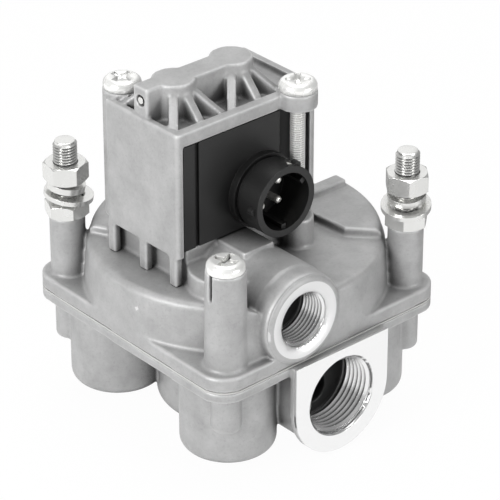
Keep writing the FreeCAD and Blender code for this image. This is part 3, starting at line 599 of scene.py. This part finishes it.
def soft_casting(piece, voxel, rounds, share):
    """Give a copy the soft edges and fillets of a casting."""
    modify(piece, "REMESH", mode="VOXEL", voxel_size=voxel, adaptivity=0.0)
    modify(piece, "SMOOTH", factor=0.5, iterations=rounds)
    modify(piece, "DECIMATE", decimate_type="COLLAPSE", ratio=share)
    smooth(piece, CAST_ANGLE)


def port_thread(name, centre, r, height, pitch, depth):
    """The thread in a port that opens to the front."""
    ridge = thread(name, r, height, pitch, depth - PORT_THREAD_RUNOUT * pitch, 64)
    lay_forward(ridge, centre[0], centre[1] + PORT_MOUTH + PORT_THREAD_START * pitch, centre[2])
    smooth(ridge, THREAD_ANGLE)
    dress(ridge, "machined_aluminium")


def dressing_of():
    """The sizes in the panel."""
    return bpy.context.scene.valve_dressing


class ValveDressing(bpy.types.PropertyGroup):
    """Sizes of what is added to the solids."""

    voxel: bpy.props.FloatProperty(
        name="Casting grid", description="Grid of the softened castings",
        default=0.5 * MM, min=0.2 * MM, max=2.0 * MM, precision=5, unit="LENGTH")
    edge_rounds: bpy.props.IntProperty(
        name="Edge rounds", description="How often the castings' edges are softened",
        default=6, min=0, max=40)
    stud_pitch: bpy.props.FloatProperty(
        name="Stud pitch", description="Thread pitch of the studs",
        default=1.0 * MM, min=0.5 * MM, max=2.0 * MM, precision=5, unit="LENGTH")
    screw_pitch: bpy.props.FloatProperty(
        name="Cover screw pitch", description="Thread pitch of the cover screws",
        default=0.8 * MM, min=0.4 * MM, max=1.5 * MM, precision=5, unit="LENGTH")
    supply_pitch: bpy.props.FloatProperty(
        name="Supply pitch", description="Pitch of the pipe thread with 14 per inch",
        default=1.81 * MM, min=1.0 * MM, max=3.0 * MM, precision=5, unit="LENGTH")
    control_pitch: bpy.props.FloatProperty(
        name="Control pitch", description="Pitch of the pipe thread with 18 per inch",
        default=1.41 * MM, min=1.0 * MM, max=3.0 * MM, precision=5, unit="LENGTH")
    light_level: bpy.props.FloatProperty(
        name="Light level", description="Strength of all lights",
        default=1.0, min=0.0, max=10.0, subtype="FACTOR")


class VALVE_OT_castings(bpy.types.Operator):
    """Show the castings with the soft edges of a casting and crisp machined faces."""

    bl_idname = "valve.castings"
    bl_label = "Castings"

    def execute(self, context):
        sizes = dressing_of()
        lower = copy_of("lower_casting", "lower_casting_soft")
        face = copy_of("lower_casting", "supply_face")
        plane = (SUPPLY[1] + SUPPLY_SLAB) * MM
        cut_off(face, (0, plane, 0), (0, 1, 0))
        cut_off(lower, (0, plane, 0), (0, -1, 0))
        soft_casting(lower, sizes.voxel, sizes.edge_rounds, BODY_DETAIL)
        dress(lower, "cast_aluminium", nodes=("lower_casting",))
        dress(face, "machined_aluminium")
        upper = copy_of("upper_casting", "upper_casting_soft")
        rim = copy_of("upper_casting", "control_face")
        plane = (CONTROL[1] + CONTROL_SLAB) * MM
        cut_off(rim, (0, plane, 0), (0, 1, 0))
        cut_off(upper, (0, plane, 0), (0, -1, 0))
        smooth(rim, CAST_ANGLE)
        dress(rim, "cast_aluminium")
        soft_casting(upper, sizes.voxel, sizes.edge_rounds, BODY_DETAIL)
        dress(upper, "cast_aluminium", nodes=("upper_casting",))
        cover = copy_of("solenoid_cover", "solenoid_cover_soft")
        soft_casting(cover, sizes.voxel, sizes.edge_rounds, COVER_DETAIL)
        dress(cover, "cast_aluminium", nodes=("solenoid_cover",))
        return {"FINISHED"}


class VALVE_OT_threads(bpy.types.Operator):
    """Wind the threads of the studs, the cover screws and the ports."""

    bl_idname = "valve.threads"
    bl_label = "Threads"

    def execute(self, context):
        sizes = dressing_of()
        pitch = sizes.stud_pitch / MM
        depth = OUTER_RIDGE_SHARE * pitch
        studs = []
        for side in (-1, 1):
            x, y = side * STUD_OFF, -side * STUD_OFF
            core = cylinder("stud_core", x, y, STUD_LOW, STUD_TOP, STUD_R - depth, 0.4)
            shank = cylinder("stud_shank", x, y, STUD_LOW, STUD_THREAD_LOW, STUD_R, 0.3)
            length = STUD_TOP - STUD_THREAD_LOW - STUD_THREAD_RUNOUT_MM
            ridge = thread("stud_ridge", STUD_R - depth, depth, pitch, length)
            stand_at(ridge, x, y, STUD_THREAD_LOW)
            studs += [core, shank, ridge]
        studs = join(studs, "threaded_studs")
        smooth(studs, THREAD_ANGLE)
        dress(studs, "zinc_steel", nodes=("mounting_studs",), look="zinc_steel_thread")
        pitch = sizes.screw_pitch / MM
        depth = OUTER_RIDGE_SHARE * pitch
        screws = copy_of("cover_screws", "cover_screw_heads")
        cut_off(screws, (0, 0, (COVER_SCREW_HEAD - 0.2) * MM), (0, 0, -1))
        parts = []
        for x, y in (COVER_SCREW_A, COVER_SCREW_B):
            parts.append(cylinder("screw_core", x, y, COVER_SCREW_LOW, COVER_SCREW_HEAD,
                                  COVER_SCREW_R - depth))
            ridge = thread("screw_ridge", COVER_SCREW_R - depth, depth, pitch,
                           COVER_SCREW_HEAD - COVER_SCREW_LOW - SCREW_THREAD_RUNOUT_MM, 32)
            stand_at(ridge, x, y, COVER_SCREW_LOW + SCREW_THREAD_START_MM)
            parts.append(ridge)
        shanks = join(parts, "cover_screw_threads")
        smooth(shanks, THREAD_ANGLE)
        dress(shanks, "zinc_steel", look="zinc_steel_pale_lit")
        smooth(screws, THREAD_ANGLE)
        dress(screws, "zinc_steel", nodes=("cover_screws",), look="zinc_steel_head_lit")
        port_thread("supply_thread", SUPPLY, SUPPLY_BORE_R, SUPPLY_RIDGE,
                    sizes.supply_pitch / MM, SUPPLY_DEPTH)
        pitch = sizes.control_pitch / MM
        port_thread("control_thread", CONTROL, CONTROL_BORE_R, CONTROL_RIDGE, pitch,
                    CONTROL_DEPTH)
        ridges = []
        for x in (-DELIVERY_OFF, DELIVERY_OFF):
            for y in (-DELIVERY_OFF, DELIVERY_OFF):
                ridge = thread("delivery_ridge", DELIVERY_BORE_R, DELIVERY_RIDGE, pitch,
                               DELIVERY_DEPTH - DELIVERY_THREAD_RUNOUT * pitch)
                stand_at(ridge, x, y, DELIVERY_Z + DELIVERY_THREAD_START * pitch)
                ridges.append(ridge)
        ridges = join(ridges, "delivery_threads")
        smooth(ridges, THREAD_ANGLE)
        dress(ridges, "machined_aluminium")
        return {"FINISHED"}


class VALVE_OT_mark(bpy.types.Operator):
    """Put the small raised arrow on top of the plug's shell."""

    bl_idname = "valve.mark"
    bl_label = "Plug mark"

    def execute(self, context):
        bpy.ops.mesh.primitive_cylinder_add(vertices=3, radius=ARROW_R * MM, depth=ARROW_T * MM)
        mark = bpy.context.object
        mark.name = "plug_arrow"
        turn = math.radians(ARROW_TURN)
        x = PLUG[0] + (PLUG_OUT_R - ARROW_SINK) * math.sin(turn)
        z = PLUG[2] + (PLUG_OUT_R - ARROW_SINK) * math.cos(turn)
        mark.rotation_euler = (0, turn, 0)
        mark.location = (x * MM, (PLUG[1] + ARROW_BACK) * MM, z * MM)
        bake(mark)
        outward(mark)
        dress(mark, "tinned_brass")
        return {"FINISHED"}


class VALVE_OT_finishes(bpy.types.Operator):
    """Paint every solid that is still shown with the material of its slot."""

    bl_idname = "valve.finishes"
    bl_label = "Finishes"

    def execute(self, context):
        slots = {part["node"]: part["material_slot"] for part in frame["record"]["subparts"]}
        for name, piece in frame["nodes"].items():
            for place in piece.material_slots:
                place.material = MATERIALS[LOOKS.get(name, slots[name])]
        return {"FINISHED"}


def area_light(name, place, aim, size, energy):
    """A square soft light, placed and aimed in metres."""
    data = bpy.data.lights.new(name, "AREA")
    data.shape = "SQUARE"
    data.size = size
    data.energy = energy
    light = bpy.data.objects.new(name, data)
    bpy.context.scene.collection.objects.link(light)
    light.location = place
    toward = [a - b for a, b in zip(aim, place)]
    flat = math.hypot(toward[0], toward[1])
    heading = math.atan2(toward[1], toward[0])
    light.rotation_euler = (math.atan2(flat, -toward[2]), 0, heading - math.pi / 2)


def floor_material():
    """Pale matt floor, seen as white with a faint shadow. Metal mirrors it as a white glow, a
    painted reflection that fades toward one side.
    """
    material = bpy.data.materials.new("pale_floor")
    material.use_nodes = True
    tree = material.node_tree
    tree.nodes.clear()
    out = add_node(tree, "ShaderNodeOutputMaterial")
    path = add_node(tree, "ShaderNodeLightPath")
    matt = add_node(tree, "ShaderNodeBsdfDiffuse", {"Color": linear("#e6e6e6")})
    white = add_node(tree, "ShaderNodeEmission", {"Color": linear("#ffffff"), "Strength": 1.0})
    seen = add_node(tree, "ShaderNodeMixShader", {"Fac": SEEN_WHITE})
    mix = add_node(tree, "ShaderNodeMixShader")
    tree.links.new(matt.outputs["BSDF"], seen.inputs[1])
    tree.links.new(white.outputs["Emission"], seen.inputs[2])
    shiny = add_node(tree, "ShaderNodeMixShader")
    glow = add_node(tree, "ShaderNodeEmission", {"Color": linear("#ffffff")})
    place = add_node(tree, "ShaderNodeTexCoord").outputs["Object"]
    aside = add_node(tree, "ShaderNodeVectorMath", operation="DOT_PRODUCT")
    tree.links.new(place, aside.inputs[0])
    aside.inputs[1].default_value = FADE_SIDE
    fade = between(tree, aside.outputs["Value"], *FADE_EDGES, 1.0, FADED)
    tree.links.new(fade, glow.inputs["Strength"])
    tree.links.new(path.outputs["Is Glossy Ray"], shiny.inputs["Fac"])
    tree.links.new(matt.outputs["BSDF"], shiny.inputs[1])
    tree.links.new(glow.outputs["Emission"], shiny.inputs[2])
    tree.links.new(path.outputs["Is Camera Ray"], mix.inputs["Fac"])
    tree.links.new(shiny.outputs["Shader"], mix.inputs[1])
    tree.links.new(seen.outputs["Shader"], mix.inputs[2])
    tree.links.new(mix.outputs["Shader"], out.inputs["Surface"])
    return material


def zone(tree, direction, toward, start, end):
    """1 around the direction toward, falling to 0 where their dot product is start."""
    dot = add_node(tree, "ShaderNodeVectorMath", operation="DOT_PRODUCT")
    tree.links.new(direction, dot.inputs[0])
    dot.inputs[1].default_value = toward
    return between(tree, dot.outputs["Value"], start, end, 0.0, 1.0)


def white_world(level):
    """Studio surroundings: even, brighter behind, darker at the right. The camera sees white."""
    world = bpy.data.worlds.new("studio")
    world.use_nodes = True
    tree = world.node_tree
    tree.nodes.clear()
    out = add_node(tree, "ShaderNodeOutputWorld")
    path = add_node(tree, "ShaderNodeLightPath")
    direction = add_node(tree, "ShaderNodeTexCoord").outputs["Generated"]
    wall = zone(tree, direction, FAR_WALL, *FAR_WALL_EDGES)
    dark = zone(tree, direction, DARK_SIDE, *DARK_SIDE_EDGES)
    lift = add_node(tree, "ShaderNodeMath", {1: FAR_WALL_LIFT, 2: ROOM_LEVEL},
                    operation="MULTIPLY_ADD")
    tree.links.new(wall, lift.inputs[0])
    fall = add_node(tree, "ShaderNodeMath", {1: -DARK_SIDE_DROP}, operation="MULTIPLY_ADD")
    tree.links.new(dark, fall.inputs[0])
    tree.links.new(lift.outputs["Value"], fall.inputs[2])
    power = add_node(tree, "ShaderNodeMath", {1: level}, operation="MULTIPLY")
    tree.links.new(fall.outputs["Value"], power.inputs[0])
    room = add_node(tree, "ShaderNodeBackground", {"Color": linear("#ffffff")})
    tree.links.new(power.outputs["Value"], room.inputs["Strength"])
    back = add_node(tree, "ShaderNodeBackground", {"Color": linear("#ffffff"), "Strength": 1.0})
    mix = add_node(tree, "ShaderNodeMixShader")
    tree.links.new(path.outputs["Is Camera Ray"], mix.inputs["Fac"])
    tree.links.new(room.outputs["Background"], mix.inputs[1])
    tree.links.new(back.outputs["Background"], mix.inputs[2])
    tree.links.new(mix.outputs["Shader"], out.inputs["Surface"])
    bpy.context.scene.world = world


def set_camera():
    """The camera of the photograph."""
    a = math.radians(CAMERA_AZ)
    e = math.radians(CAMERA_EL)
    back = (math.sin(a) * math.cos(e), -math.cos(a) * math.cos(e), math.sin(e))
    right = (math.cos(a), math.sin(a), 0.0)
    up = (back[1] * right[2] - back[2] * right[1], back[2] * right[0] - back[0] * right[2],
          back[0] * right[1] - back[1] * right[0])
    aim = [AIM_RIGHT * right[i] + AIM_UP * up[i] for i in range(3)]
    aim[2] += AIM_Z
    data = bpy.data.cameras.new("camera")
    data.lens = CAMERA_LENS
    data.sensor_width = 36.0
    camera = bpy.data.objects.new("camera", data)
    bpy.context.scene.collection.objects.link(camera)
    camera.location = [(aim[i] + CAMERA_DISTANCE * back[i]) * MM for i in range(3)]
    camera.rotation_euler = (math.pi / 2 - e, 0, a)
    bpy.context.scene.camera = camera


class VALVE_OT_stage(bpy.types.Operator):
    """Set up the floor, the lights, the surroundings and the camera."""

    bl_idname = "valve.stage"
    bl_label = "Stage"

    def execute(self, context):
        level = dressing_of().light_level
        bpy.ops.mesh.primitive_plane_add(size=FLOOR_SIZE, location=(0, 0, -FLOOR_GAP))
        floor = bpy.context.object
        floor.name = "floor"
        floor.data.materials.append(floor_material())
        for name, place, aim, side, power in LIGHTS:
            area_light(name, place, aim, side, power * level)
        white_world(level)
        context.scene.view_settings.view_transform = "Standard"
        set_camera()
        return {"FINISHED"}


class VALVE_PT_panel(bpy.types.Panel):
    """Sizes and steps of the dressing."""

    bl_idname = "VALVE_PT_panel"
    bl_label = "Relay valve"
    bl_space_type = "VIEW_3D"
    bl_region_type = "UI"
    bl_category = "Valve"

    def draw(self, context):
        sizes = dressing_of()
        for name in ("voxel", "edge_rounds", "stud_pitch", "screw_pitch", "supply_pitch",
                     "control_pitch", "light_level"):
            self.layout.prop(sizes, name)
        for step in STEPS:
            self.layout.operator(step.bl_idname)


STEPS = (VALVE_OT_castings, VALVE_OT_threads, VALVE_OT_mark, VALVE_OT_finishes, VALVE_OT_stage)
CLASSES = (ValveDressing, *STEPS, VALVE_PT_panel)


def register():
    for item in CLASSES:
        bpy.utils.register_class(item)
    bpy.types.Scene.valve_dressing = bpy.props.PointerProperty(type=ValveDressing)


def unregister():
    del bpy.types.Scene.valve_dressing
    for item in reversed(CLASSES):
        bpy.utils.unregister_class(item)


def main():
    register()
    MATERIALS.update(all_materials())
    bpy.ops.valve.castings()
    bpy.ops.valve.threads()
    bpy.ops.valve.mark()
    bpy.ops.valve.finishes()
    bpy.ops.valve.stage()


if __name__ == "__main__":
    main()
